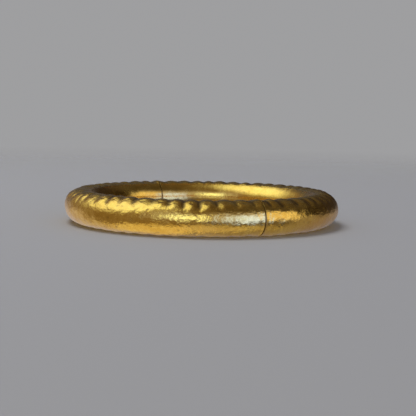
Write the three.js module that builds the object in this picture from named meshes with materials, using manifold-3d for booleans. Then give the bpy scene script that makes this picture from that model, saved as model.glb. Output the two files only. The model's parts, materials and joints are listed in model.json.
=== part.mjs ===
// Hinged hollow bangle bracelet. Two half rings of hollow tube, each a raised outer shell closed by an
// inner band, meet at a five-knuckle hinge at the back and at a mouth at the front. A folded spring
// tongue on the front half snaps into a catch box in the rear half, and a small nib releases it.
// Millimetres, +Z up. The bangle lies flat: the ring's axis is Z, and the origin is the ring's centre
// on the plane that it rests on. The front is -Y and the right is +X.
import * as THREE from "three";
import { mergeVertices } from "three/addons/utils/BufferGeometryUtils.js";
import Module from "manifold-3d";

const wasm = await Module();
wasm.setup();

// Ring and tube.
const INNER_RADIUS = 29;
const TUBE_RADIUS = 4.75;
const RING_RADIUS = INNER_RADIUS + TUBE_RADIUS;
const WALL = 0.45;
const SECTION_SIDES = 24; // an even polygon with a flat at the bottom, which the bangle rests on
const STATION_STEP = 7.5; // degrees round the ring between two sections

// Where the tube divides. Angles round the ring run from the front, -Y, towards the right, +X.
// Angles round the section run from outward, over the top.
const SEAM_ANGLE = 127.5; // the outer shell's edges, each side of outward
const SEAM_GAP = 0.05;
const MOUTH_ANGLE = 24.8;
const HINGE_ANGLE = MOUTH_ANGLE + 180;
const MOUTH_GAP = 0.25;
const HINGE_GAP = 0.2;
const CAP_THICKNESS = 0.5;
const CAP_CLEARANCE = 0.08;

// Hinge: its pin is upright, just inside the tube's outer side, so the halves swing clear of each other.
const PIVOT_RADIUS = RING_RADIUS + 3.55;
const KNUCKLE_COUNT = 5;
const KNUCKLE_HEIGHT = 1.2;
const KNUCKLE_GAP = 0.04;
const KNUCKLE_RADIUS = 1;
const KNUCKLE_BORE = 0.45;
const PIN_RADIUS = 0.4;
const PIN_HEAD_RADIUS = 0.62;
const PIN_HEAD_TOP = 0.43; // the flat left on top of each rounded head
const PIN_HEAD = 0.2;
const STACK = KNUCKLE_COUNT * KNUCKLE_HEIGHT + (KNUCKLE_COUNT - 1) * KNUCKLE_GAP;
const LUG = { inner: 0.95, outer: 0.5, length: 2.6, halfHeight: 2.6 }; // strap behind each knuckle
const POCKET_CLEARANCE = 0.15;
const BEVEL_ANGLE = 27; // each half is bevelled this much outside the pin, so it opens 50 degrees
const BEVEL_LEAD = 0.25; // the bevel starts this far inside the pin's axis
const BEVEL_REACH = 2.5; // and ends this far outside it
const PIN_CLEARANCE = 0.4; // above and below the knuckles, for the pin's heads
const HINGE_BITE = 2.35; // the hinge caps stop this far from the tube's centreline

// Catch. Across is measured outward from the tube's centreline, along from the mouth into the rear half.
const TONGUE = { halfWidth: 1.6, root: -3.2, fold: 6.3, tip: 6.8, height: 5.35, thickness: 0.4 };
const FOLD_DEPTH = 0.65; // how far the fold reaches below the upper leaf
const LEAF = { end: 0.83, root: 6.22, endHeight: 3.7, rootHeight: 4.75, thickness: 0.3 };
const WING = { across: -3.9, along: 1.75 }; // the sprung leaf's side tab, which carries the nib
const THROAT = { inner: -3, outer: 1.95, low: 4.3, high: 5.85 };
const NIB = { across: -3.5, along: 1.3, width: 0.8, length: 0.7, low: 0.95, high: 3.68, edge: 0.12 };
const NIB_NOTCH = { inner: -4.15, outer: -2.95, along: 1.95, bandTop: 3, throatTop: 5 };
const BOX = { inner: -2.4, outer: 2.3, low: 3, high: 6.3, start: 0.76, end: 8.2, wall: 0.35 };
const WING_CLEARANCE = 0.35; // from the wing's tip to the end of its opening in the box
const TONGUE_SLOT = { halfWidth: 1.75, clearance: 0.07 }; // in the front half's cap, round the tongue
const THROUGH = 3; // a cutter reaches this far to each side of the cap that it goes through

const rad = THREE.MathUtils.degToRad;

const goldSheet = new THREE.MeshStandardMaterial({ color: 0xd9a441, metalness: 1, roughness: 0.3 });
const goldBand = new THREE.MeshStandardMaterial({ color: 0xe0b04e, metalness: 1, roughness: 0.22 });
const goldPlate = new THREE.MeshStandardMaterial({ color: 0xcf9a3c, metalness: 1, roughness: 0.35 });
const goldWire = new THREE.MeshStandardMaterial({ color: 0xd4a03f, metalness: 1, roughness: 0.28 });
const springGold = new THREE.MeshStandardMaterial({ color: 0xdcb45a, metalness: 1, roughness: 0.25 });

// A closed geometry as a solid that can be joined and cut.
function toSolid(geometry) {
  const plain = geometry.clone();
  plain.deleteAttribute("normal");
  plain.deleteAttribute("uv");
  const merged = mergeVertices(plain, 1e-4);
  const triVerts = new Uint32Array(merged.index.array);
  return new wasm.Manifold(
    new wasm.Mesh({ numProp: 3, vertProperties: merged.attributes.position.array, triVerts }),
  );
}

function toGeometry(solid) {
  const mesh = solid.getMesh();
  const geometry = new THREE.BufferGeometry();
  geometry.setAttribute("position", new THREE.BufferAttribute(mesh.vertProperties, 3));
  geometry.setIndex(new THREE.BufferAttribute(mesh.triVerts, 1));
  geometry.computeVertexNormals();
  return geometry;
}

function cut(geometry, ...cutters) {
  return toGeometry(cutters.reduce((left, cutter) => left.subtract(toSolid(cutter)), toSolid(geometry)));
}

function join(...geometries) {
  return toGeometry(geometries.map(toSolid).reduce((left, right) => left.add(right)));
}

function overlapOf(a, b) {
  return toGeometry(toSolid(a).intersect(toSolid(b)));
}

// Turns a geometry made in a station's own frame (x outward, y along the ring, z up) into the ring's frame.
function atStation(geometry, degrees) {
  return geometry.clone().rotateZ(rad(degrees - 90));
}

function stationGroup(degrees) {
  const group = new THREE.Group();
  group.rotation.z = rad(degrees - 90);
  return group;
}

// A box from its limits, with x measured from the tube's centreline.
function boxBetween(x0, x1, y0, y1, z0, z1) {
  const box = new THREE.BoxGeometry(x1 - x0, y1 - y0, z1 - z0);
  return box.translate(RING_RADIUS + (x0 + x1) / 2, (y0 + y1) / 2, (z0 + z1) / 2);
}

function prism(points, low, high) {
  const shape = new THREE.Shape(points.map(([x, y]) => new THREE.Vector2(x, y)));
  return new THREE.ExtrudeGeometry(shape, { depth: high - low, bevelEnabled: false }).translate(0, 0, low);
}

function uprightCylinder(radius, low, high) {
  const cylinder = new THREE.CylinderGeometry(radius, radius, high - low, 24);
  return cylinder.rotateX(Math.PI / 2).translate(PIVOT_RADIUS, 0, (low + high) / 2);
}

// A point of the tube's section: the polygon's flats are at flatRadius from its centre.
function sectionPoint(degrees, flatRadius) {
  const side = 360 / SECTION_SIDES;
  const fromFlat = degrees - side * Math.round(degrees / side);
  const radius = flatRadius / Math.cos(rad(fromFlat));
  const x = RING_RADIUS + radius * Math.cos(rad(degrees));
  return new THREE.Vector2(x, TUBE_RADIUS + radius * Math.sin(rad(degrees)));
}

// The polygon's corners between two section angles, with the two ends.
function sectionArc(from, to, flatRadius) {
  const side = 360 / SECTION_SIDES;
  const angles = [from];
  for (let corner = (Math.floor(from / side + 0.5) + 0.5) * side; corner < to - 1e-6; corner += side) {
    if (corner > from + 1e-6) angles.push(corner);
  }
  angles.push(to);
  return angles.map((angle) => sectionPoint(angle, flatRadius));
}

// A sheet of the wall's thickness that follows the tube's section between two section angles.
function wallSection(from, to) {
  const outside = sectionArc(from, to, TUBE_RADIUS);
  const inside = sectionArc(from, to, TUBE_RADIUS - WALL).reverse();
  return new THREE.Shape([...outside, ...inside]);
}

// Carries a section round the ring from one angle down to another, with a station at each whole step.
function sweepRound(section, from, to) {
  const stations = [from];
  for (let k = Math.ceil(from / STATION_STEP) - 1; k * STATION_STEP > to; k -= 1) {
    stations.push(k * STATION_STEP);
  }
  stations.push(to);
  const steps = stations.length - 1;
  const geometry = new THREE.ExtrudeGeometry(section, { depth: steps, steps, bevelEnabled: false });
  const position = geometry.attributes.position;
  for (let i = 0; i < position.count; i += 1) {
    const angle = rad(stations[Math.round(position.getZ(i))]);
    const radius = position.getX(i);
    position.setXYZ(i, radius * Math.sin(angle), -radius * Math.cos(angle), position.getY(i));
  }
  geometry.computeVertexNormals();
  return geometry;
}

// Half the gap's width as an angle round the ring.
const mouthInset = THREE.MathUtils.radToDeg(MOUTH_GAP / 2 / RING_RADIUS);
const hingeInset = THREE.MathUtils.radToDeg(HINGE_GAP / 2 / RING_RADIUS);
const seamInset = THREE.MathUtils.radToDeg(SEAM_GAP / TUBE_RADIUS);
const halves = {
  rear: { from: HINGE_ANGLE - hingeInset, to: MOUTH_ANGLE + mouthInset },
  front: { from: MOUTH_ANGLE - mouthInset, to: HINGE_ANGLE - 360 + hingeInset },
};

// Room for the knuckles, and the bevel outside the pin that lets the halves swing.
function hingeCutters() {
  const low = TUBE_RADIUS - STACK / 2 - PIN_CLEARANCE;
  const high = TUBE_RADIUS + STACK / 2 + PIN_CLEARANCE;
  const spread = (BEVEL_REACH + BEVEL_LEAD) * Math.tan(rad(BEVEL_ANGLE));
  const wedge = [
    [PIVOT_RADIUS - BEVEL_LEAD, 0],
    [PIVOT_RADIUS + BEVEL_REACH, -spread],
    [PIVOT_RADIUS + BEVEL_REACH, spread],
  ];
  return [uprightCylinder(KNUCKLE_RADIUS + POCKET_CLEARANCE, low, high), prism(wedge, 0, 2 * TUBE_RADIUS)];
}

function outerShell(half) {
  const shell = sweepRound(wallSection(-SEAM_ANGLE, SEAM_ANGLE), half.from, half.to);
  return cut(shell, ...hingeCutters().map((cutter) => atStation(cutter, HINGE_ANGLE)));
}

function innerBand(half, ...cutters) {
  const section = wallSection(SEAM_ANGLE + seamInset, 360 - SEAM_ANGLE - seamInset);
  const band = sweepRound(section, half.from, half.to);
  return cutters.length ? cut(band, ...cutters) : band;
}

// A plate that fills the tube's end, from one place along the ring to another one thickness on.
function endCap(along, ...cutters) {
  const rim = TUBE_RADIUS - WALL - CAP_CLEARANCE;
  const disc = new THREE.Shape(sectionArc(-SEAM_ANGLE, 360 - SEAM_ANGLE, rim).slice(1));
  const plate = new THREE.ExtrudeGeometry(disc, { depth: CAP_THICKNESS, bevelEnabled: false });
  plate.rotateX(Math.PI / 2).translate(0, along + CAP_THICKNESS, 0);
  return cut(plate, ...cutters);
}

// The tongue's outline from above: a strip curved about the hinge pin, so it slides out along itself.
function tonguePlan(from, to, low, high) {
  const centre = -PIVOT_RADIUS;
  const outer = PIVOT_RADIUS + RING_RADIUS + TONGUE.halfWidth;
  const inner = PIVOT_RADIUS + RING_RADIUS - TONGUE.halfWidth;
  const plan = new THREE.Shape();
  plan.absarc(centre, 0, outer, Math.asin(from / outer), Math.asin(to / outer), false);
  plan.absarc(centre, 0, inner, Math.asin(to / inner), Math.asin(from / inner), true);
  const options = { depth: high - low, bevelEnabled: false, curveSegments: 6 };
  return new THREE.ExtrudeGeometry(plan, options).translate(0, 0, low);
}

// An outline seen from the side (along, up), carried across the whole tube.
function sideProfile(points) {
  const shape = new THREE.Shape(points.map(([y, z]) => new THREE.Vector2(y, z)));
  const geometry = new THREE.ExtrudeGeometry(shape, { depth: 2 * TUBE_RADIUS, bevelEnabled: false });
  const turn = new THREE.Matrix4().makeBasis(
    new THREE.Vector3(0, 1, 0),
    new THREE.Vector3(0, 0, 1),
    new THREE.Vector3(1, 0, 0),
  );
  return geometry.applyMatrix4(turn).translate(INNER_RADIUS, 0, 0);
}

// Upper leaf of the folded tongue, soldered into the front half, with the fold at its tip.
function tongueBase() {
  const top = TONGUE.height + TONGUE.thickness;
  const bottom = TONGUE.height - FOLD_DEPTH;
  const round = 0.2;
  const profile = sideProfile([
    [TONGUE.root, TONGUE.height],
    [TONGUE.fold, TONGUE.height],
    [TONGUE.fold, bottom],
    [TONGUE.tip - round, bottom],
    [TONGUE.tip, bottom + round],
    [TONGUE.tip, top - round],
    [TONGUE.tip - round, top],
    [TONGUE.root, top],
  ]);
  return overlapOf(tonguePlan(TONGUE.root - 1, TONGUE.tip + 1, 0, 2 * TUBE_RADIUS), profile);
}

// Lower, sprung leaf: it slopes down from the fold and its end stands behind the throat's lip.
function tongueLeaf() {
  const profile = sideProfile([
    [LEAF.end, LEAF.endHeight],
    [LEAF.root, LEAF.rootHeight],
    [LEAF.root, LEAF.rootHeight + LEAF.thickness],
    [LEAF.end, LEAF.endHeight + LEAF.thickness],
  ]);
  const wing = boxBetween(WING.across, -TONGUE.halfWidth / 2, LEAF.end, WING.along, 0, 2 * TUBE_RADIUS);
  const plan = join(tonguePlan(LEAF.end - 1, LEAF.root + 1, 0, 2 * TUBE_RADIUS), wing);
  return overlapOf(plan, profile);
}

function releaseNib() {
  const round = 0.3;
  const w = NIB.width / 2 - NIB.edge;
  const l = NIB.length / 2 - NIB.edge;
  const shape = new THREE.Shape();
  shape.moveTo(-w + round / 2, -l);
  shape.lineTo(w - round / 2, -l);
  shape.quadraticCurveTo(w, -l, w, -l + round / 2);
  shape.lineTo(w, l - round / 2);
  shape.quadraticCurveTo(w, l, w - round / 2, l);
  shape.lineTo(-w + round / 2, l);
  shape.quadraticCurveTo(-w, l, -w, l - round / 2);
  shape.lineTo(-w, -l + round / 2);
  shape.quadraticCurveTo(-w, -l, -w + round / 2, -l);
  const post = new THREE.ExtrudeGeometry(shape, {
    depth: NIB.high - NIB.low - 2 * NIB.edge,
    bevelSize: NIB.edge,
    bevelThickness: NIB.edge,
    bevelSegments: 2,
    curveSegments: 2,
  });
  return post.translate(RING_RADIUS + NIB.across, NIB.along, NIB.low + NIB.edge);
}

function catchBox() {
  const { inner, outer, low, high, start, end, wall } = BOX;
  const hollow = boxBetween(inner + wall, outer - wall, start - 1, end - wall, low + wall, high - wall);
  const wayEnd = WING.along + WING_CLEARANCE;
  const wingWay = boxBetween(inner - 1, inner + 2 * wall, start - 1, wayEnd, low + wall, high - wall);
  return cut(boxBetween(inner, outer, start, end, low, high), hollow, wingWay);
}

function knuckle(index, side) {
  const low = TUBE_RADIUS - STACK / 2 + index * (KNUCKLE_HEIGHT + KNUCKLE_GAP);
  const high = low + KNUCKLE_HEIGHT;
  const barrel = uprightCylinder(KNUCKLE_RADIUS, low, high);
  const lugLow = Math.max(low, TUBE_RADIUS - LUG.halfHeight);
  const lugHigh = Math.min(high, TUBE_RADIUS + LUG.halfHeight);
  const offset = PIVOT_RADIUS - RING_RADIUS;
  const along = side > 0 ? [0, LUG.length] : [-LUG.length, 0];
  const lug = boxBetween(offset - LUG.inner, offset - LUG.outer, ...along, lugLow, lugHigh);
  return cut(join(barrel, lug), uprightCylinder(KNUCKLE_BORE, low - 1, high + 1));
}

function hingePin() {
  const half = STACK / 2 + KNUCKLE_GAP;
  const profile = [
    [0, -half - PIN_HEAD],
    [PIN_HEAD_TOP, -half - PIN_HEAD],
    [PIN_HEAD_RADIUS, -half - PIN_HEAD / 2],
    [PIN_HEAD_RADIUS, -half],
    [PIN_RADIUS, -half],
    [PIN_RADIUS, half],
    [PIN_HEAD_RADIUS, half],
    [PIN_HEAD_RADIUS, half + PIN_HEAD / 2],
    [PIN_HEAD_TOP, half + PIN_HEAD],
    [0, half + PIN_HEAD],
  ];
  const lathe = new THREE.LatheGeometry(profile.map(([r, z]) => new THREE.Vector2(r, z)), 24);
  return lathe.rotateX(Math.PI / 2).translate(PIVOT_RADIUS, 0, TUBE_RADIUS);
}

function addMesh(parent, name, geometry, material) {
  const mesh = new THREE.Mesh(geometry, material);
  mesh.name = name;
  parent.add(mesh);
}

const bangle = new THREE.Group();
const mouth = stationGroup(MOUTH_ANGLE);
const hinge = stationGroup(HINGE_ANGLE);
bangle.add(mouth, hinge);

const { inner: notchIn, outer: notchOut, along: notchAlong, bandTop, throatTop } = NIB_NOTCH;
const nibNotch = atStation(boxBetween(notchIn, notchOut, 0, notchAlong, -1, bandTop), MOUTH_ANGLE);
addMesh(bangle, "rear_outer_shell", outerShell(halves.rear), goldSheet);
addMesh(bangle, "rear_inner_band", innerBand(halves.rear, nibNotch), goldBand);
addMesh(bangle, "front_outer_shell", outerShell(halves.front), goldSheet);
addMesh(bangle, "front_inner_band", innerBand(halves.front), goldBand);

const throat = boxBetween(THROAT.inner, THROAT.outer, -THROUGH, THROUGH, THROAT.low, THROAT.high);
const nibWay = boxBetween(-TUBE_RADIUS, notchOut, -THROUGH, THROUGH, -1, throatTop);
const { halfWidth: slotWidth, clearance: slotGap } = TONGUE_SLOT;
const slotLow = TONGUE.height - slotGap;
const slotHigh = TONGUE.height + TONGUE.thickness + slotGap;
const tongueSlot = boxBetween(-slotWidth, slotWidth, -THROUGH, THROUGH, slotLow, slotHigh);
addMesh(mouth, "rear_mouth_cap", endCap(MOUTH_GAP / 2, throat, nibWay), goldPlate);
addMesh(mouth, "front_mouth_cap", endCap(-MOUTH_GAP / 2 - CAP_THICKNESS, tongueSlot), goldPlate);
addMesh(mouth, "catch_box", catchBox(), goldPlate);
addMesh(mouth, "tongue_base", tongueBase(), springGold);
addMesh(mouth, "tongue_leaf", tongueLeaf(), springGold);
addMesh(mouth, "release_nib", releaseNib(), goldWire);

const biteLow = TUBE_RADIUS - STACK / 2 - PIN_CLEARANCE;
const biteHigh = TUBE_RADIUS + STACK / 2 + PIN_CLEARANCE;
const bite = boxBetween(HINGE_BITE, TUBE_RADIUS + 1, -THROUGH, THROUGH, biteLow, biteHigh);
addMesh(hinge, "rear_hinge_cap", endCap(-HINGE_GAP / 2 - CAP_THICKNESS, bite), goldPlate);
addMesh(hinge, "front_hinge_cap", endCap(HINGE_GAP / 2, bite), goldPlate);
const knuckleNames = [
  "rear_knuckle_lower",
  "front_knuckle_lower",
  "rear_knuckle_middle",
  "front_knuckle_upper",
  "rear_knuckle_upper",
];
knuckleNames.forEach((name, index) => {
  addMesh(hinge, name, knuckle(index, index % 2 ? 1 : -1), goldWire);
});
addMesh(hinge, "hinge_pin", hingePin(), goldWire);

export default bangle;
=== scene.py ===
"""Hinged hollow bangle bracelet in hand-hammered gold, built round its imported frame.

The ring lies flat, its axis along Z and its front towards -Y. Angles round the ring, theta, run from
the front towards the right, +X. Angles round the tube's section, phi, run from outward, over the top.
"""

import json
import math

import bmesh
import bpy
import mathutils
import numpy as np
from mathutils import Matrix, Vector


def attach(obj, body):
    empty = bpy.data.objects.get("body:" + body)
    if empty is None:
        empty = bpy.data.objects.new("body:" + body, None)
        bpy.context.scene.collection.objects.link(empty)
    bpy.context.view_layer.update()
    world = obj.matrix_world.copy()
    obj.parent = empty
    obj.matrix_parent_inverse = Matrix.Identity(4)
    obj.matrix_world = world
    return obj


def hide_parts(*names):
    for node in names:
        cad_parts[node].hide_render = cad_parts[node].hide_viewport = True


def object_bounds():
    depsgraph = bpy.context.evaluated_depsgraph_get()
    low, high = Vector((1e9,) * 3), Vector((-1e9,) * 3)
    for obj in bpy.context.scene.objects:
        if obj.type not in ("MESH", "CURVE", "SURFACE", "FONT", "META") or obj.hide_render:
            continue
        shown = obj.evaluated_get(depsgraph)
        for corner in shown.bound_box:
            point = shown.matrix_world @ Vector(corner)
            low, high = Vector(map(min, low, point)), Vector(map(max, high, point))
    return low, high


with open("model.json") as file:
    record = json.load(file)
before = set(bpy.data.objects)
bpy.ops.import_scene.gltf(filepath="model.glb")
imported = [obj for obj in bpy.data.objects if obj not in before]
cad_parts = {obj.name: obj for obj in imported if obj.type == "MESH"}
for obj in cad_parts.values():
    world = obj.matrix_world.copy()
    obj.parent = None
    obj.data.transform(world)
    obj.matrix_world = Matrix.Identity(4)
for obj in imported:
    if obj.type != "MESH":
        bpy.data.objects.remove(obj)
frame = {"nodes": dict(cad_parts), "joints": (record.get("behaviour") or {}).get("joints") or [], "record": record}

bl_info = {
    "name": "Hammered Hinged Bangle",
    "version": (1, 0, 0),
    "blender": (4, 5, 0),
    "location": "3D View > Sidebar > Bangle",
    "description": "Builds a hollow hinged bangle with pleated flanks, and the stage it is shown on",
    "category": "Add Mesh",
}

MM = 0.001

# The ring's sizes, from the frame.
CAD_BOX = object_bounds()
TUBE = (CAD_BOX[1][2] - CAD_BOX[0][2]) / 2
RING = (CAD_BOX[1][0] - CAD_BOX[0][0]) / 2 - TUBE
JOINTS = {joint["name"]: joint for joint in frame["joints"]}
HINGE_X, HINGE_Y = JOINTS["bangle_hinge"]["pos_m"][:2]
PIVOT = math.hypot(HINGE_X, HINGE_Y)
HINGE = math.atan2(HINGE_X, -HINGE_Y) % (2 * math.pi)
MOUTH = HINGE - math.pi

# Sheet and gaps.
WALL = 0.45 * MM
MOUTH_GAP = 0.2 * MM
HINGE_GAP = 0.2 * MM
SEAM = math.radians(127.5)
SEAM_GAP = 0.05 * MM
POCKET_RADIUS = 1.15 * MM  # room round the hinge's knuckles, cut out of both halves
POCKET_HALF_HEIGHT = 3.48 * MM
BEVEL_LEAD = 0.25 * MM
BEVEL = math.radians(27)
NOTCH_INNER, NOTCH_OUTER, NOTCH_LENGTH = -4.15 * MM, -2.95 * MM, 1.95 * MM
RIM_SHADE = 0.7  # how much painted shade lies along the edges of the mouth and hinge lines, up to 1
SETBACK_REACH = 8 * MM  # how far from a half's end its rows are straight again

# Edges: where a mesh is shaded sharp, and which of a small piece's edges are rounded.
SHEET_SHARP = math.radians(40)
PIECE_SHARP = math.radians(50)
HARD_EDGE = math.radians(35)
PLATE_EDGE = 0.05 * MM
KNUCKLE_EDGE = 0.07 * MM
PIN_EDGE = 0.03 * MM
STRIP_EDGE = 0.08 * MM

# Pleats, all in the section's angles from outward: on each flank, where the tucks begin, where they
# are full, and how strong they are; then where they have died out towards the wrist.
TOP_FLANK = (21, 53, 1.0)
BOTTOM_FLANK = (52, 92, 0.4)
PLEATS_FADE = (math.radians(108), math.radians(122))
TUCK_SCATTER = 0.17  # of a pitch
TUCK_LEAN = math.radians(-0.7)
DIMPLE_PLACE = math.radians(60)
DIMPLE_DEPTH = 0.36
DIMPLE_LENGTH, DIMPLE_WIDTH = 0.62 * MM, 0.55 * MM
HAMMER_CELL = (2.6 * MM, 2.1 * MM)

# Stage.
FLOOR_RADIUS, FLOOR_CLEAR, FLOOR_GONE = 0.8, 0.06, 0.6
FLOOR_TONE = (0.435, 0.43, 0.44)
BACKDROP = (0.345, 0.345, 0.352)
ROOM_LEFT, ROOM_RIGHT = (0.24, 0.20, 0.155), (0.075, 0.07, 0.075)
LIGHT_PLACE, LIGHT_SIZE, LIGHT_POWER = (-0.25, 0.1, 0.8), 0.4, 3.2
LENS, LENS_SHIFT = 86.4, (0.0158, -0.006)
CAMERA_ELEVATION, CAMERA_DISTANCE, CAMERA_ROLL = 5.4, 0.283, math.radians(1.0)


# ---------------------------------------------------------------- meshes


def grid_faces(rows, columns, offset=0, close_columns=False):
    """Quads of a rows by columns grid of points numbered row by row, with the columns joined up or not."""
    last_column = columns if close_columns else columns - 1
    i, j = np.meshgrid(np.arange(rows - 1), np.arange(last_column), indexing="ij")
    right = (j + 1) % columns
    below = (i + 1) % rows
    corners = [i * columns + j, below * columns + j, below * columns + right, i * columns + right]
    return np.stack(corners, axis=-1).reshape(-1, 4) + offset


def make_object(name, points, quads, uv=None, values=None):
    """A mesh object from (n, 3) points and (m, 4) quads, with an optional UV per point and named values."""
    mesh = bpy.data.meshes.new(name)
    mesh.vertices.add(len(points))
    mesh.vertices.foreach_set("co", np.asarray(points, dtype=np.float32).ravel())
    loops = np.asarray(quads, dtype=np.int32).ravel()
    mesh.loops.add(len(loops))
    mesh.loops.foreach_set("vertex_index", loops)
    mesh.polygons.add(len(quads))
    mesh.polygons.foreach_set("loop_start", np.arange(0, len(loops), 4, dtype=np.int32))
    mesh.update(calc_edges=True)
    if uv is not None:
        layer = mesh.uv_layers.new(name="along")
        layer.data.foreach_set("uv", np.asarray(uv, dtype=np.float32)[loops].ravel())
    for key, value in (values or {}).items():
        attribute = mesh.attributes.new(key, "FLOAT", "POINT")
        attribute.data.foreach_set("value", np.asarray(value, dtype=np.float32).ravel())
    mesh.polygons.foreach_set("use_smooth", np.ones(len(quads), dtype=bool))
    mesh.set_sharp_from_angle(angle=SHEET_SHARP)
    mesh.validate()
    obj = bpy.data.objects.new(name, mesh)
    bpy.context.scene.collection.objects.link(obj)
    return obj


def sheet_solid(name, outside, inside, uv, values):
    """A closed sheet from its two faces, each a (rows, columns, 3) grid of points of the same size.

    Rows run round the ring and columns over the section, so the outside faces away from the tube.
    """
    rows, columns = outside.shape[:2]
    count = rows * columns
    outer = np.arange(count).reshape(rows, columns)
    inner = outer + count
    faces = [grid_faces(rows, columns), grid_faces(rows, columns, count)[:, ::-1]]
    first, last = (outer[0], inner[0]), (outer[-1], inner[-1])
    for (a, b), turned in ((first, False), (last, True)):
        rim = np.stack([a[:-1], a[1:], b[1:], b[:-1]], axis=-1)
        faces.append(rim[:, ::-1] if turned else rim)
    for column, turned in ((0, True), (-1, False)):
        a, b = outer[:, column], inner[:, column]
        rim = np.stack([a[:-1], a[1:], b[1:], b[:-1]], axis=-1)
        faces.append(rim[:, ::-1] if turned else rim)
    points = np.concatenate([outside.reshape(-1, 3), inside.reshape(-1, 3)])
    both_uv = np.concatenate([uv.reshape(-1, 2)] * 2)
    both_values = {key: np.concatenate([value.ravel(), value.ravel()]) for key, value in values.items()}
    return make_object(name, points, np.concatenate(faces), both_uv, both_values)


def tube_points(theta, phi, radius):
    """Points at an angle round the ring and an angle and distance round the tube's centreline.

    x outward = RING + radius cos(phi), height = TUBE + radius sin(phi), turned round Z by theta.
    """
    outward = RING + radius * np.cos(phi)
    across, depth = outward * np.sin(theta), -outward * np.cos(theta)
    return np.stack([across, depth, TUBE + radius * np.sin(phi)], axis=-1)


def smoothstep(low, high, value):
    t = np.clip((value - low) / (high - low), 0, 1)
    return t * t * (3 - 2 * t)


def fine_ends(count, edge, length):
    """Positions from 0 to 1 that crowd into the last edge of each end, for a rounded border."""
    border = np.array([0, 0.08, 0.3, 0.6, 1.0]) * edge / length
    middle = np.linspace(border[-1], 1 - border[-1], count)[1:-1]
    return np.concatenate([border, middle, 1 - border[::-1]])


# ---------------------------------------------------------------- hammered relief


def wave_field(x, y, seed, wavelength, waves=14):
    """A smooth random field of unit spread: a sum of plane waves in random directions near one wavelength."""
    rng = np.random.default_rng(seed)
    angles = rng.uniform(0, math.pi, waves)
    lengths = wavelength * rng.uniform(0.7, 1.5, waves)
    phases = rng.uniform(0, 2 * math.pi, waves)
    total = np.zeros(np.broadcast(x, y).shape)
    for angle, length, phase in zip(angles, lengths, phases):
        along = x * math.cos(angle) + y * math.sin(angle)
        total += np.cos(2 * math.pi * along / length + phase)
    return total * math.sqrt(2 / waves)


def hammer_marks(x, y, seed, cell_x, cell_y):
    """Shallow overlapping bowls, 0 at a blow's centre to 1 on the ridges: the distance to the nearest blow.

    Blows stand one to a cell, moved at random inside it.
    """
    rng = np.random.default_rng(seed)
    table = rng.uniform(0.12, 0.88, (64, 64, 2))
    cx, cy = np.floor(x / cell_x).astype(int), np.floor(y / cell_y).astype(int)
    nearest = np.full(x.shape, 9.0)
    for dx in (-1, 0, 1):
        for dy in (-1, 0, 1):
            place = table[(cx + dx) % 64, (cy + dy) % 64]
            gap_x = x / cell_x - (cx + dx + place[..., 0])
            gap_y = y / cell_y - (cy + dy + place[..., 1])
            nearest = np.minimum(nearest, gap_x**2 + gap_y**2)
    return np.minimum(nearest, 1)


def pleat_depth(theta, phi, settings):
    """How deep the flanks are gathered at a place, from 0 to 1.

    Tucks stand one to a pitch, each moved at random, and lean a little over the flank. Place counts them,
    so its fraction is 0 in a tuck and 1/2 on the lobe between two. The lobe's height is
    sin(pi place) ** 1.3, and a punched dimple, a bell curve, sinks into its middle. On the lower flank
    the relief is fainter and starts further round.
    """
    pitch = 2 * math.pi / settings.pleat_count
    count = settings.pleat_count
    index = np.arange(-count, 2 * count + 1)
    flank = np.abs(phi)
    depth = np.zeros(theta.shape)
    for side, (first, last, share) in ((phi > 0, TOP_FLANK), (phi <= 0, BOTTOM_FLANK)):
        rng = np.random.default_rng(settings.seed + int(100 * share))
        moved, strength, longer = rng.uniform(-1, 1, (3, count))
        tucks = (index + TUCK_SCATTER * moved[index % count]) * pitch
        lean = TUCK_LEAN * (flank - DIMPLE_PLACE)
        place = np.interp(theta - lean, tucks, index)
        lobe = np.abs(np.sin(math.pi * place)) ** 1.3
        strong = 0.82 + 0.18 * np.interp(place, index, strength[index % count])
        start = np.radians(first + 6 * np.interp(place, index, longer[index % count]))
        reach = smoothstep(start, start + math.radians(last - first), flank)
        along = (place - np.floor(place) - 0.5) * pitch * RING / DIMPLE_LENGTH
        over = (flank - DIMPLE_PLACE) * TUBE / DIMPLE_WIDTH
        dimple = DIMPLE_DEPTH * share * strong * np.exp(-(along**2) - over**2)
        depth = np.where(side, strong * reach * (1 - lobe) * share + dimple, depth)
    return depth * (1 - smoothstep(*PLEATS_FADE, flank))


def relief(theta, phi, settings):
    """Height of the hammered surface over the true tube, in metres and never above 0, and the tucks' mask for
    painted shade.
    """
    x, y = theta * RING, phi * TUBE
    gathered = pleat_depth(theta, phi, settings)
    blows = hammer_marks(x, y, settings.seed + 1, *HAMMER_CELL)
    blows = blows * (0.55 + 0.45 * wave_field(x, y, settings.seed + 2, 14 * MM))
    swell = wave_field(x, y, settings.seed + 3, 9 * MM)
    ripple = wave_field(x, y, settings.seed + 4, 2.6 * MM)
    calm = 1 - 0.5 * smoothstep(math.radians(95), math.radians(120), np.abs(phi))
    height = settings.hammer_depth * calm * (0.5 * blows + 0.42 * swell + 0.16 * ripple - 1)
    # The tucks' bottoms, which the gold's colour darkens as painted shade.
    tuck_bottom = smoothstep(0.34, 0.84, gathered)
    return np.minimum(height, 0) - settings.pleat_depth * gathered, tuck_bottom


def round_off(distance, radius):
    """How far a rounded border of that radius drops at a distance from the edge: a quarter circle."""
    inside = np.clip(radius - distance, 0, radius)
    return radius - np.sqrt(radius**2 - inside**2)


# ---------------------------------------------------------------- shells


def hinge_retreat(phi, radius):
    """How far, along the ring, a half's end stands back from the hinge plane, for the knuckles and bevel."""
    outward = RING + radius * np.cos(phi) - PIVOT
    height = radius * np.sin(phi)
    bevel = np.maximum(outward + BEVEL_LEAD, 0) * math.tan(BEVEL)
    pocket = np.sqrt(np.maximum(POCKET_RADIUS**2 - outward**2, 0))
    in_pocket = np.abs(height) < POCKET_HALF_HEIGHT
    return np.maximum(np.maximum(bevel, np.where(in_pocket, pocket, 0)), HINGE_GAP / 2)


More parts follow.
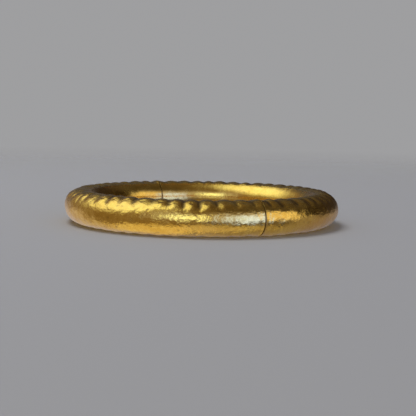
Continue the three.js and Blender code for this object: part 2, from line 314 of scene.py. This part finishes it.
def half_angles(half):
    """Where a half starts and ends round the ring, low angle first, and which end is at the mouth."""
    if half == "rear":
        return MOUTH, HINGE, "low"
    return HINGE - 2 * math.pi, MOUTH, "high"


def station_angles(half, phi, radius, places, mouth_retreat=0.0):
    """Angles round the ring for a (places, phi) grid whose two ends follow the mouth and the hinge pocket.

    The rows are evenly spread, and each end's setback dies out over the next few millimetres.
    """
    low, high, mouth_end = half_angles(half)
    outward = RING + radius * np.cos(phi)
    at_mouth = np.broadcast_to((MOUTH_GAP / 2 + mouth_retreat) / outward, phi.shape)
    at_hinge = hinge_retreat(phi, radius) / outward
    start, end = (at_mouth, at_hinge) if mouth_end == "low" else (at_hinge, at_mouth)
    from_start = (1 - smoothstep(0, SETBACK_REACH, places * (high - low) * RING))[:, None]
    from_end = (1 - smoothstep(0, SETBACK_REACH, (1 - places) * (high - low) * RING))[:, None]
    return (low + (high - low) * places)[:, None] + start * from_start - end * from_end


def pocket_columns(count, edge_angle):
    """Section angles for a shell, crowded at its two edges and at the pocket's two corners."""
    columns = -edge_angle + 2 * edge_angle * fine_ends(count, 0.1 * MM, 2 * edge_angle * TUBE)
    corner = math.asin(POCKET_HALF_HEIGHT / TUBE)
    extra = [side * (corner + step) for side in (-1, 1) for step in (-0.004, 0.004)]
    return np.unique(np.concatenate([columns, extra]))


def build_outer_shell(half, settings):
    """The C-shaped outer sheet: the tube's surface with the hammered relief, its back a plain tube."""
    edge = SEAM - SEAM_GAP / 2 / TUBE
    phi = pocket_columns(88, edge)
    places = fine_ends(settings.rows, 0.15 * MM, math.pi * RING)
    theta = station_angles(half, phi, TUBE, places)
    grid_phi = np.broadcast_to(phi, theta.shape)
    height, crease = relief(theta, grid_phi, settings)
    to_end = np.minimum(places, 1 - places)[:, None] * math.pi * RING
    to_seam = (edge - np.abs(grid_phi)) * TUBE
    drop = round_off(to_end, settings.edge_round) + round_off(to_seam, settings.edge_round * 0.5)
    rim_fade = smoothstep(0, 0.6 * MM, to_end)
    outside = tube_points(theta, grid_phi, TUBE + height * rim_fade - drop)
    inner_radius = TUBE - WALL - 0.2 * MM
    theta_in = station_angles(half, phi, inner_radius, places)
    back = np.minimum(height, -0.02 * MM) * rim_fade
    inside = tube_points(theta_in, grid_phi, TUBE - WALL + back)
    uv = np.stack([theta * RING, grid_phi * TUBE], axis=-1) / (10 * MM)
    # Painted shade along the half's ends, by the mouth and hinge lines.
    rim = RIM_SHADE * (1 - smoothstep(0.04 * MM, 0.3 * MM, to_end)) * np.ones_like(theta)
    return sheet_solid(half + "_shell_sheet", outside, inside, uv, {"crease": crease, "rim": rim})


def build_inner_band(half, settings):
    """The plain sheet that closes the C towards the wrist, with the nib's notch at the rear half's mouth."""
    edge = SEAM + SEAM_GAP / 2 / TUBE
    width = 2 * math.pi - 2 * edge
    columns = edge + width * fine_ends(44, 0.08 * MM, width * TUBE)
    clear_of_nib = (math.acos(NOTCH_INNER / (TUBE - WALL)), math.acos(NOTCH_OUTER / TUBE))
    notch = [2 * math.pi - angle for angle in clear_of_nib]
    corners = [angle + step for angle in notch for step in (-0.003, 0.003)]
    phi = np.unique(np.concatenate([columns, corners]))
    in_notch = (phi > notch[0]) & (phi < notch[1]) & (half == "rear")
    retreat = np.where(in_notch, NOTCH_LENGTH - MOUTH_GAP / 2, 0)
    places = fine_ends(settings.rows // 2, 0.12 * MM, math.pi * RING)
    theta = station_angles(half, phi, TUBE, places, retreat)
    grid_phi = np.broadcast_to(phi, theta.shape)
    x, y = theta * RING, grid_phi * TUBE
    swell = wave_field(x, y, settings.seed + 7, 7 * MM) + 0.5 * wave_field(x, y, settings.seed + 8, 3 * MM)
    height = np.minimum(settings.hammer_depth * 0.35 * (0.4 * swell - 1), 0)
    to_end = np.minimum(places, 1 - places)[:, None] * math.pi * RING
    to_seam = np.minimum(grid_phi - edge, 2 * math.pi - edge - grid_phi) * TUBE
    drop = round_off(to_end, settings.edge_round) + round_off(to_seam, settings.edge_round * 0.5)
    outside = tube_points(theta, grid_phi, TUBE + height - drop)
    inside = tube_points(theta, grid_phi, np.full(theta.shape, TUBE - WALL))
    uv = np.stack([x, y], axis=-1) / (10 * MM)
    # Painted shade along the band's ends, by the mouth and hinge lines.
    rim = RIM_SHADE * (1 - smoothstep(0.04 * MM, 0.3 * MM, to_end)) * np.ones_like(theta)
    values = {"crease": np.zeros_like(theta), "rim": rim}
    return sheet_solid(half + "_band_sheet", outside, inside, uv, values)


# ---------------------------------------------------------------- caps, hinge and catch


def softened_copy(node, edge):
    """A small piece with its facets merged into whole faces, and every hard edge rounded with that radius."""
    mesh = frame["nodes"][node].data.copy()
    mesh.name = node + "_finished"
    work = bmesh.new()
    work.from_mesh(mesh)
    bmesh.ops.remove_doubles(work, verts=work.verts, dist=1e-7)
    bmesh.ops.dissolve_limit(work, angle_limit=math.radians(1), verts=work.verts, edges=work.edges)
    hard = [e for e in work.edges if e.is_manifold and e.calc_face_angle(0) > HARD_EDGE]
    bmesh.ops.bevel(
        work, geom=hard, offset=edge, segments=2, profile=0.5, affect="EDGES", clamp_overlap=True
    )
    bmesh.ops.recalc_face_normals(work, faces=work.faces)
    work.to_mesh(mesh)
    work.free()
    mesh.polygons.foreach_set("use_smooth", np.ones(len(mesh.polygons), dtype=bool))
    mesh.set_sharp_from_angle(angle=PIECE_SHARP)
    obj = bpy.data.objects.new(node + "_finished", mesh)
    bpy.context.scene.collection.objects.link(obj)
    return obj


def finish_small_pieces(nodes, edge):
    """Stands a softened copy in for each of these nodes, with the finish of its slot."""
    record = frame["record"]
    slots = {entry["node"]: entry["material_slot"] for entry in record["subparts"]}
    body_of = {node: body for body, members in record["behaviour"]["bodies"].items() for node in members}
    finish = {"gold_plate": "plate", "gold_wire": "wire", "spring_gold": "spring"}
    for node in nodes:
        piece = softened_copy(node, edge)
        dress(piece, materials()[finish[slots[node]]])
        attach(piece, body_of[node])
        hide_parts(node)


# ---------------------------------------------------------------- materials


def new_group(name, inputs, outputs):
    """A shader node group with named float or colour sockets, and its two end nodes."""
    group = bpy.data.node_groups.new(name, "ShaderNodeTree")
    for socket, kind, default in inputs:
        made = group.interface.new_socket(name=socket, in_out="INPUT", socket_type=kind)
        if default is not None:
            made.default_value = default
    for socket, kind in outputs:
        group.interface.new_socket(name=socket, in_out="OUTPUT", socket_type=kind)
    return group, group.nodes.new("NodeGroupInput"), group.nodes.new("NodeGroupOutput")


FLOAT, COLOUR, VECTOR = "NodeSocketFloat", "NodeSocketColor", "NodeSocketVector"


class Nodes:
    """Short ways to add and wire shader nodes in one tree."""

    def __init__(self, tree):
        self.tree = tree

    def add(self, kind, **settings):
        node = self.tree.nodes.new(kind)
        inputs = settings.pop("inputs", {})
        for key, value in settings.items():
            setattr(node, key, value)
        for key, value in inputs.items():
            self.put(node.inputs[key], value)
        return node

    def put(self, socket, value):
        if isinstance(value, bpy.types.NodeSocket):
            self.tree.links.new(value, socket)
        else:
            socket.default_value = value

    def math(self, operation, a, b=0.0, clamp=False):
        node = self.add("ShaderNodeMath", operation=operation, use_clamp=clamp)
        self.put(node.inputs[0], a)
        self.put(node.inputs[1], b)
        return node.outputs[0]

    def spread(self, value, low, high, to_low, to_high):
        limits = {"From Min": low, "From Max": high, "To Min": to_low, "To Max": to_high}
        node = self.add("ShaderNodeMapRange", inputs={"Value": value, **limits})
        return node.outputs[0]

    def soften(self, value, low, high, to_low, to_high):
        limits = {"From Min": low, "From Max": high, "To Min": to_low, "To Max": to_high}
        values = {"Value": value, **limits}
        return self.add("ShaderNodeMapRange", interpolation_type="SMOOTHSTEP", inputs=values).outputs[0]

    def mix(self, factor, a, b, blend="MIX"):
        node = self.add("ShaderNodeMix", data_type="RGBA", blend_type=blend)
        self.put(node.inputs[0], factor)
        self.put(node.inputs[6], a)
        self.put(node.inputs[7], b)
        return node.outputs[2]

    def noise(self, vector, scale, detail=3.0, roughness=0.55, distortion=0.0):
        values = {"Scale": scale, "Detail": detail, "Roughness": roughness, "Distortion": distortion}
        node = self.add("ShaderNodeTexNoise", inputs={"Vector": vector, **values})
        return node.outputs[0]

    def stretched(self, vector, scale):
        return self.add("ShaderNodeMapping", inputs={"Vector": vector, "Scale": scale}).outputs[0]


def struck_pits_group():
    """Small round pits, each in its own cell of a Voronoi pattern and only in some of the cells.

    Where is a place in centimetres, and Pits is 1 in a pit's bottom.
    """
    group, start, end = new_group("struck_pits", [("Where", VECTOR, None)], [("Pits", FLOAT)])
    n = Nodes(group)
    wobble = n.noise(start.outputs["Where"], 9, 1, 0.5)
    moved = n.add("ShaderNodeVectorMath", operation="ADD", inputs={0: start.outputs["Where"]})
    n.put(moved.inputs[1], n.math("MULTIPLY", wobble, 0.06))
    cells = n.add("ShaderNodeTexVoronoi", inputs={"Vector": moved.outputs[0], "Scale": 4.6})
    lot = n.add("ShaderNodeSeparateColor", inputs={0: cells.outputs["Color"]}).outputs[0]
    chosen = n.spread(lot, 0.45, 0.5, 0, 1)
    bowl = n.soften(cells.outputs["Distance"], 0.0, 0.3, 1, 0)
    n.put(end.inputs["Pits"], n.math("MULTIPLY", bowl, chosen))
    return group


def tone_and_shade_group():
    """Colour of worn gold: cloudy tone changes, a redder blush in patches, dark specks of grime, and painted shade
    in the recesses and pits.

    Where is a place in centimetres. Recess and Pits are masks from 0 to 1.
    """
    inputs = [
        ("Where", VECTOR, None),
        ("Recess", FLOAT, 0.0),
        ("Pits", FLOAT, 0.0),
        ("Bright", COLOUR, (1, 1, 1, 1)),
        ("Deep", COLOUR, (1, 1, 1, 1)),
        ("Blush", COLOUR, (1, 1, 1, 1)),
        ("Shade and grime", COLOUR, (1, 1, 1, 1)),
    ]
    group, start, end = new_group("worn_gold_tone_and_shade", inputs, [("Tone", COLOUR), ("Dull", FLOAT)])
    n = Nodes(group)
    where = start.outputs["Where"]
    cloud = n.noise(where, 1.3, 4, 0.6, 0.4)
    patch = n.noise(n.stretched(where, (0.5, 1.4, 1)), 0.9, 3, 0.5)
    speck = n.noise(where, 22, 2, 0.6)
    mottle = n.noise(where, 11, 4, 0.7, 0.3)
    blotches = n.math("ADD", n.math("MULTIPLY", cloud, 0.5), n.math("MULTIPLY", mottle, 0.5))
    tone = n.mix(n.spread(blotches, 0.42, 0.6, 0, 1), start.outputs["Deep"], start.outputs["Bright"])
    tone = n.mix(n.spread(patch, 0.55, 0.72, 0, 0.55), tone, start.outputs["Blush"])
    # Painted shade in the pits, and dark specks of grime.
    pit_shade = n.math("MULTIPLY", start.outputs["Pits"], 0.3)
    specks_and_pit_shade = n.math("MAXIMUM", n.spread(speck, 0.64, 0.74, 0, 0.35), pit_shade)
    # Painted shade from the recesses, with the grime specks and the pits' painted shade, in one mask.
    shade_and_grime = n.math("MAXIMUM", n.spread(start.outputs["Recess"], 0.15, 0.95, 0, 0.8), specks_and_pit_shade, True)
    n.put(end.inputs["Tone"], n.mix(shade_and_grime, tone, start.outputs["Shade and grime"]))
    n.put(end.inputs["Dull"], shade_and_grime)
    return group


def satin_group():
    """Finish of hand-rubbed metal: roughness from rubbing streaks and clouds, and fine dents and scratches.

    Where is a place in centimetres whose x runs along the rubbing.
    """
    inputs = [
        ("Where", VECTOR, None),
        ("Dull", FLOAT, 0.0),
        ("Pits", FLOAT, 0.0),
        ("Low", FLOAT, 0.2),
        ("High", FLOAT, 0.4),
    ]
    outputs = [("Roughness", FLOAT), ("Height", FLOAT)]
    group, start, end = new_group("rubbed_satin", inputs, outputs)
    n = Nodes(group)
    where = start.outputs["Where"]
    streak = n.noise(n.stretched(where, (3, 46, 20)), 1.0, 4, 0.65)
    cloud = n.noise(where, 2.4, 3, 0.55)
    dent = n.noise(where, 6.5, 2, 0.45, 0.3)
    pit = n.noise(where, 19, 2, 0.5)
    grain = n.noise(where, 70, 2, 0.6)
    blend = n.math("ADD", n.math("MULTIPLY", streak, 0.45), n.math("MULTIPLY", cloud, 0.55))
    spread = n.add("ShaderNodeMapRange", inputs={"Value": blend, "From Min": 0.38, "From Max": 0.64})
    n.put(spread.inputs["To Min"], start.outputs["Low"])
    n.put(spread.inputs["To Max"], start.outputs["High"])
    rough = n.math("ADD", spread.outputs[0], n.math("MULTIPLY", start.outputs["Dull"], 0.22), True)
    n.put(end.inputs["Roughness"], rough)
    height = n.math("ADD", dent, n.math("MULTIPLY", pit, 0.42))
    height = n.math("ADD", height, n.math("MULTIPLY", streak, 0.07))
    height = n.math("ADD", height, n.math("MULTIPLY", grain, 0.05))
    height = n.math("SUBTRACT", height, n.math("MULTIPLY", start.outputs["Pits"], 0.4))
    n.put(end.inputs["Height"], height)
    return group


def gold_material(name, groups, colours, low, high, bump, own_uv):
    """Worn metallic gold from the two shared groups. Sheets read their own map, small pieces their place."""
    material = bpy.data.materials.new(name)
    material.use_nodes = True
    tree = material.node_tree
    n = Nodes(tree)
    shader = tree.nodes["Principled BSDF"]
    shader.inputs["Metallic"].default_value = 1.0
    coordinates = n.add("ShaderNodeTexCoord")
    if own_uv:
        where = n.add("ShaderNodeUVMap", uv_map="along").outputs[0]
        crease = n.add("ShaderNodeAttribute", attribute_name="crease").outputs["Fac"]
        rim = n.add("ShaderNodeAttribute", attribute_name="rim").outputs["Fac"]
        # Painted shade: the tucks' bottoms and the ends' edges are darkened in the colour.
        recess = n.math("MAXIMUM", crease, rim)
    else:
        where = n.stretched(coordinates.outputs["Object"], (100, 100, 100))
        recess = 0.0
    tone = n.add("ShaderNodeGroup", node_tree=groups["tone"])
    satin = n.add("ShaderNodeGroup", node_tree=groups["satin"])
    n.put(tone.inputs["Where"], where)
    n.put(tone.inputs["Recess"], recess)
    if own_uv:
        pits = n.add("ShaderNodeGroup", node_tree=groups["pits"])
        n.put(pits.inputs["Where"], where)
        # The pits also darken the colour, as painted shade.
        n.put(tone.inputs["Pits"], pits.outputs["Pits"])
        n.put(satin.inputs["Pits"], pits.outputs["Pits"])
    for socket, colour in zip(("Bright", "Deep", "Blush", "Shade and grime"), colours):
        tone.inputs[socket].default_value = (*colour, 1)
    n.put(satin.inputs["Where"], where)
    n.put(satin.inputs["Dull"], tone.outputs["Dull"])
    satin.inputs["Low"].default_value = low
    satin.inputs["High"].default_value = high
    dents = n.add("ShaderNodeBump", inputs={"Strength": 1.0, "Distance": bump})
    n.put(dents.inputs["Height"], satin.outputs["Height"])
    n.put(shader.inputs["Base Color"], tone.outputs["Tone"])
    n.put(shader.inputs["Roughness"], satin.outputs["Roughness"])
    n.put(shader.inputs["Normal"], dents.outputs[0])
    return material


def dress(obj, material):
    obj.data.materials.clear()
    obj.data.materials.append(material)


_shared = {}


def materials():
    """Every gold finish of the bangle, made once from the user's colours."""
    if _shared:
        return _shared
    tints = bpy.context.scene.bangle_colours
    colours = [tuple(tints.bright), tuple(tints.deep), tuple(tints.blush), tuple(tints.shade_and_grime)]
    groups = {"tone": tone_and_shade_group(), "satin": satin_group(), "pits": struck_pits_group()}
    _shared["shell"] = gold_material("gold_hammered_sheet", groups, colours, 0.17, 0.3, 0.14 * MM, True)
    _shared["band"] = gold_material("gold_inner_band", groups, colours, 0.16, 0.3, 0.03 * MM, True)
    _shared["plate"] = gold_material("gold_filed_plate", groups, colours, 0.28, 0.45, 0.02 * MM, False)
    _shared["wire"] = gold_material("gold_drawn_wire", groups, colours, 0.16, 0.3, 0.012 * MM, False)
    _shared["spring"] = gold_material("gold_spring_strip", groups, colours, 0.2, 0.32, 0.01 * MM, False)
    return _shared


# ---------------------------------------------------------------- stage


def look_at(obj, eye, target, roll=0.0):
    """Places obj at eye with its -Z axis towards target and its top upright, then rolls it."""
    direction = mathutils.Vector(target) - mathutils.Vector(eye)
    turn = direction.to_track_quat("-Z", "Y").to_matrix().to_4x4()
    turn = turn @ mathutils.Matrix.Rotation(roll, 4, "Z")
    obj.matrix_world = mathutils.Matrix.Translation(eye) @ turn


def build_floor():
    """A pale disc that fades out evenly between two distances, so no horizon shows."""
    rings, spokes = 24, 96
    r = np.linspace(0.01 * MM, FLOOR_RADIUS, rings)[:, None]
    a = np.linspace(0, 2 * math.pi, spokes, endpoint=False)[None, :]
    points = np.stack([r * np.cos(a), r * np.sin(a), np.zeros((rings, spokes))], axis=-1).reshape(-1, 3)
    floor = make_object("pale_floor", points, grid_faces(rings, spokes, close_columns=True))
    material = bpy.data.materials.new("pale_floor")
    material.use_nodes = True
    n = Nodes(material.node_tree)
    shader = material.node_tree.nodes["Principled BSDF"]
    shader.inputs["Base Color"].default_value = (*FLOOR_TONE, 1)
    shader.inputs["Roughness"].default_value = 0.7
    place = n.add("ShaderNodeTexCoord").outputs["Object"]
    distance = n.add("ShaderNodeVectorMath", operation="LENGTH", inputs={0: place}).outputs["Value"]
    n.put(shader.inputs["Alpha"], n.soften(distance, FLOOR_CLEAR, FLOOR_GONE, 1, 0))
    dress(floor, material)
    floor.visible_glossy = False


def direction_point(azimuth, elevation, distance):
    """A point seen from the ring's centre at an azimuth from the front towards the right."""
    a, e = math.radians(azimuth), math.radians(elevation)
    flat = distance * math.cos(e)
    return (flat * math.sin(a), -flat * math.cos(a), TUBE + distance * math.sin(e))


# Soft cards of light that the metal reflects: azimuth from the front towards the right, width, lowest
# and highest elevation and softness of the border in degrees, then the light's red, green and blue.
CARDS = {
    "floor_glow_left": (-85, 190, -100, -42, 16, (0.80, 0.78, 0.68)),
    "floor_glow_front": (35, 100, -100, -41, 16, (0.56, 0.56, 0.52)),
    "floor_glow_back": (135, 110, -100, -41, 18, (0.29, 0.29, 0.32)),
    "low_left_wall": (-155, 84, -50, -2, 20, (0.55, 0.54, 0.60)),
    "low_right_wall": (135, 110, -45, 2, 14, (0.27, 0.262, 0.30)),
    "dark_back_wall": (180, 56, 6, 56, 20, (0.09, 0.10, 0.13)),
    "dark_right_wall": (128, 92, -2, 32, 14, (0.03, 0.025, 0.025)),
    "front_veil": (22, 128, -14, 34, 22, (0.44, 0.48, 0.74)),
    "front_left_card": (-12, 26, -7, 22, 10, (1.55, 2.15, 3.20)),
    "front_window": (38, 34, -22, 20, 10, (0.88, 1.46, 5.50)),
    "right_card": (70, 32, -10, 29, 9, (1.02, 1.02, 1.00)),
}
# The big round softbox behind on the left: azimuth, elevation, half angle, softness, light.
SOFTBOX = (-91, 49, 31, 27, (1.24, 1.52, 1.70))


def light_card(n, axes, elevation, azimuth, width, low, high, soft):
    """A soft-edged patch of sky as a mask: its azimuth is measured from its own middle, so it never wraps."""
    c = math.radians(azimuth)
    x, y = axes["X"], axes["Y"]
    sideways = n.math("ADD", n.math("MULTIPLY", x, math.cos(c)), n.math("MULTIPLY", y, math.sin(c)))
    ahead = n.math("SUBTRACT", n.math("MULTIPLY", x, math.sin(c)), n.math("MULTIPLY", y, math.cos(c)))
    off_middle = n.math("ABSOLUTE", n.math("ARCTAN2", sideways, ahead))
    half, border = math.radians(width / 2), math.radians(soft / 2)
    low, high = math.radians(low), math.radians(high)
    across = n.soften(off_middle, half - border, half + border, 1, 0)
    from_low = n.soften(elevation, low - border, low + border, 0, 1)
    to_high = n.soften(elevation, high - border, high + border, 1, 0)
    return n.math("MULTIPLY", across, n.math("MULTIPLY", from_low, to_high))


def round_card(n, direction, azimuth, elevation, half, soft):
    """A soft-edged round patch of sky as a mask, by the angle from its middle."""
    a, e = math.radians(azimuth), math.radians(elevation)
    middle = (math.cos(e) * math.sin(a), -math.cos(e) * math.cos(a), math.sin(e))
    facing = n.add("ShaderNodeVectorMath", operation="DOT_PRODUCT", inputs={0: direction, 1: middle})
    off_middle = n.math("ARCCOSINE", facing.outputs["Value"])
    return n.soften(off_middle, math.radians(half - soft / 2), math.radians(half + soft / 2), 1, 0)


def build_world():
    """A plain backdrop, and for reflections only a dim room, left and right, with the soft cards in it."""
    world = bpy.data.worlds.new("studio")
    world.use_nodes = True
    bpy.context.scene.world = world
    n = Nodes(world.node_tree)
    background = world.node_tree.nodes["Background"]
    direction = n.add("ShaderNodeTexCoord").outputs["Generated"]
    axes = n.add("ShaderNodeSeparateXYZ", inputs={0: direction}).outputs
    elevation = n.math("ARCSINE", axes["Z"])
    room = n.mix(n.spread(axes["X"], -0.5, 0.5, 0, 1), (*ROOM_LEFT, 1), (*ROOM_RIGHT, 1))
    for azimuth, width, low, high, soft, colour in CARDS.values():
        mask = light_card(n, axes, elevation, azimuth, width, low, high, soft)
        room = n.mix(mask, room, (*colour, 1))
    room = n.mix(round_card(n, direction, *SOFTBOX[:4]), room, (*SOFTBOX[4], 1))
    reflected = n.add("ShaderNodeLightPath").outputs["Is Glossy Ray"]
    n.put(background.inputs["Color"], n.mix(reflected, (*BACKDROP, 1), room))


def build_light():
    """A softbox overhead, which only gives the floor its shade."""
    light = bpy.data.lights.new("top_softbox", "AREA")
    light.shape = "RECTANGLE"
    light.size = light.size_y = LIGHT_SIZE
    light.energy = LIGHT_POWER
    softbox = bpy.data.objects.new("top_softbox", light)
    bpy.context.scene.collection.objects.link(softbox)
    look_at(softbox, LIGHT_PLACE, (0, 0, TUBE))
    softbox.visible_glossy = False


def build_camera():
    lens = bpy.data.cameras.new("camera")
    lens.lens = LENS
    lens.sensor_width = 36.0
    lens.shift_x, lens.shift_y = LENS_SHIFT
    lens.clip_start = 0.01
    camera = bpy.data.objects.new("camera", lens)
    bpy.context.scene.collection.objects.link(camera)
    look_at(camera, direction_point(0, CAMERA_ELEVATION, CAMERA_DISTANCE), (0, 0, TUBE), CAMERA_ROLL)
    bpy.context.scene.camera = camera


# ---------------------------------------------------------------- add-on


class BangleSizes(bpy.types.PropertyGroup):
    pleat_count: bpy.props.IntProperty(
        name="Pleats", description="Number of tucks round the whole ring", default=52, min=12, max=96
    )
    pleat_depth: bpy.props.FloatProperty(
        name="Pleat depth", description="Depth of a tuck's crease", default=0.46 * MM, unit="LENGTH"
    )
    hammer_depth: bpy.props.FloatProperty(
        name="Hammer depth", description="Depth of the hammer marks", default=0.08 * MM, unit="LENGTH"
    )
    edge_round: bpy.props.FloatProperty(
        name="Edge rounding", description="Radius of the sheet's worn edges", default=0.06 * MM, unit="LENGTH"
    )
    rows: bpy.props.IntProperty(
        name="Rows", description="Mesh rows round each half", default=440, min=60, max=800
    )
    seed: bpy.props.IntProperty(name="Seed", description="Seed of the hand-made variation", default=11)


def tint(name, description, default):
    return bpy.props.FloatVectorProperty(
        name=name, description=description, default=default, subtype="COLOR", size=3, min=0, max=1
    )


class BangleColours(bpy.types.PropertyGroup):
    bright: tint("Bright gold", "Gold where it is rubbed", (0.97, 0.60, 0.12))
    deep: tint("Deep gold", "Gold where it is less rubbed", (0.80, 0.45, 0.07))
    blush: tint("Blush", "Redder patches of the alloy", (0.88, 0.48, 0.12))
    # Colour of the painted shade in the tucks, the pits and along the mouth and hinge edges, and of dark specks of
    # grime.
    shade_and_grime: tint("Shade and grime", "Darkening in the creases", (0.20, 0.11, 0.035))


class BANGLE_OT_outer_shells(bpy.types.Operator):
    """Makes the two hammered outer shells with their pleated flanks"""

    bl_idname = "bangle.outer_shells"
    bl_label = "Outer shells"

    def execute(self, context):
        for half in ("rear", "front"):
            shell = build_outer_shell(half, context.scene.bangle_sizes)
            dress(shell, materials()["shell"])
            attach(shell, half + "_half")
            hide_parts(half + "_outer_shell")
        return {"FINISHED"}


class BANGLE_OT_inner_bands(bpy.types.Operator):
    """Makes the two smooth bands that close the tube towards the wrist"""

    bl_idname = "bangle.inner_bands"
    bl_label = "Inner bands"

    def execute(self, context):
        for half in ("rear", "front"):
            band = build_inner_band(half, context.scene.bangle_sizes)
            dress(band, materials()["band"])
            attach(band, half + "_half")
            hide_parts(half + "_inner_band")
        return {"FINISHED"}


class BANGLE_OT_end_caps(bpy.types.Operator):
    """Makes the four filed plates that close the tube's ends"""

    bl_idname = "bangle.end_caps"
    bl_label = "End caps"

    def execute(self, context):
        caps = [half + end for half in ("rear", "front") for end in ("_mouth_cap", "_hinge_cap")]
        finish_small_pieces(caps, PLATE_EDGE)
        return {"FINISHED"}


class BANGLE_OT_hinge(bpy.types.Operator):
    """Makes the five knuckles with their straps, and the riveted pin"""

    bl_idname = "bangle.hinge"
    bl_label = "Hinge"

    def execute(self, context):
        rear = ["rear_knuckle_" + level for level in ("lower", "middle", "upper")]
        front = ["front_knuckle_" + level for level in ("lower", "upper")]
        finish_small_pieces([*rear, *front], KNUCKLE_EDGE)
        finish_small_pieces(["hinge_pin"], PIN_EDGE)
        return {"FINISHED"}


class BANGLE_OT_catch(bpy.types.Operator):
    """Makes the catch box, the folded tongue with its sprung leaf, and the release nib"""

    bl_idname = "bangle.catch"
    bl_label = "Catch"

    def execute(self, context):
        finish_small_pieces(["catch_box", "release_nib"], PLATE_EDGE)
        finish_small_pieces(["tongue_base", "tongue_leaf"], STRIP_EDGE)
        return {"FINISHED"}


class BANGLE_OT_stage(bpy.types.Operator):
    """Sets up the pale floor, the studio light and the camera"""

    bl_idname = "bangle.stage"
    bl_label = "Stage"

    def execute(self, context):
        context.scene.view_settings.view_transform = "Standard"
        build_floor()
        build_world()
        build_light()
        build_camera()
        return {"FINISHED"}


class BANGLE_PT_panel(bpy.types.Panel):
    """Sizes, colours and build steps of the bangle"""

    bl_label = "Hammered bangle"
    bl_idname = "BANGLE_PT_panel"
    bl_space_type = "VIEW_3D"
    bl_region_type = "UI"
    bl_category = "Bangle"

    def draw(self, context):
        column = self.layout.column()
        for group in (context.scene.bangle_sizes, context.scene.bangle_colours):
            for key in group.__annotations__:
                column.prop(group, key)
        for operator in OPERATORS:
            column.operator(operator.bl_idname)


OPERATORS = (
    BANGLE_OT_outer_shells,
    BANGLE_OT_inner_bands,
    BANGLE_OT_end_caps,
    BANGLE_OT_hinge,
    BANGLE_OT_catch,
    BANGLE_OT_stage,
)
CLASSES = (BangleSizes, BangleColours, *OPERATORS, BANGLE_PT_panel)


def register():
    for made in CLASSES:
        bpy.utils.register_class(made)
    bpy.types.Scene.bangle_sizes = bpy.props.PointerProperty(type=BangleSizes)
    bpy.types.Scene.bangle_colours = bpy.props.PointerProperty(type=BangleColours)


def unregister():
    del bpy.types.Scene.bangle_colours
    del bpy.types.Scene.bangle_sizes
    for made in reversed(CLASSES):
        bpy.utils.unregister_class(made)


def main():
    register()
    bpy.ops.bangle.outer_shells()
    bpy.ops.bangle.inner_bands()
    bpy.ops.bangle.end_caps()
    bpy.ops.bangle.hinge()
    bpy.ops.bangle.catch()
    bpy.ops.bangle.stage()


if __name__ == "__main__":
    main()
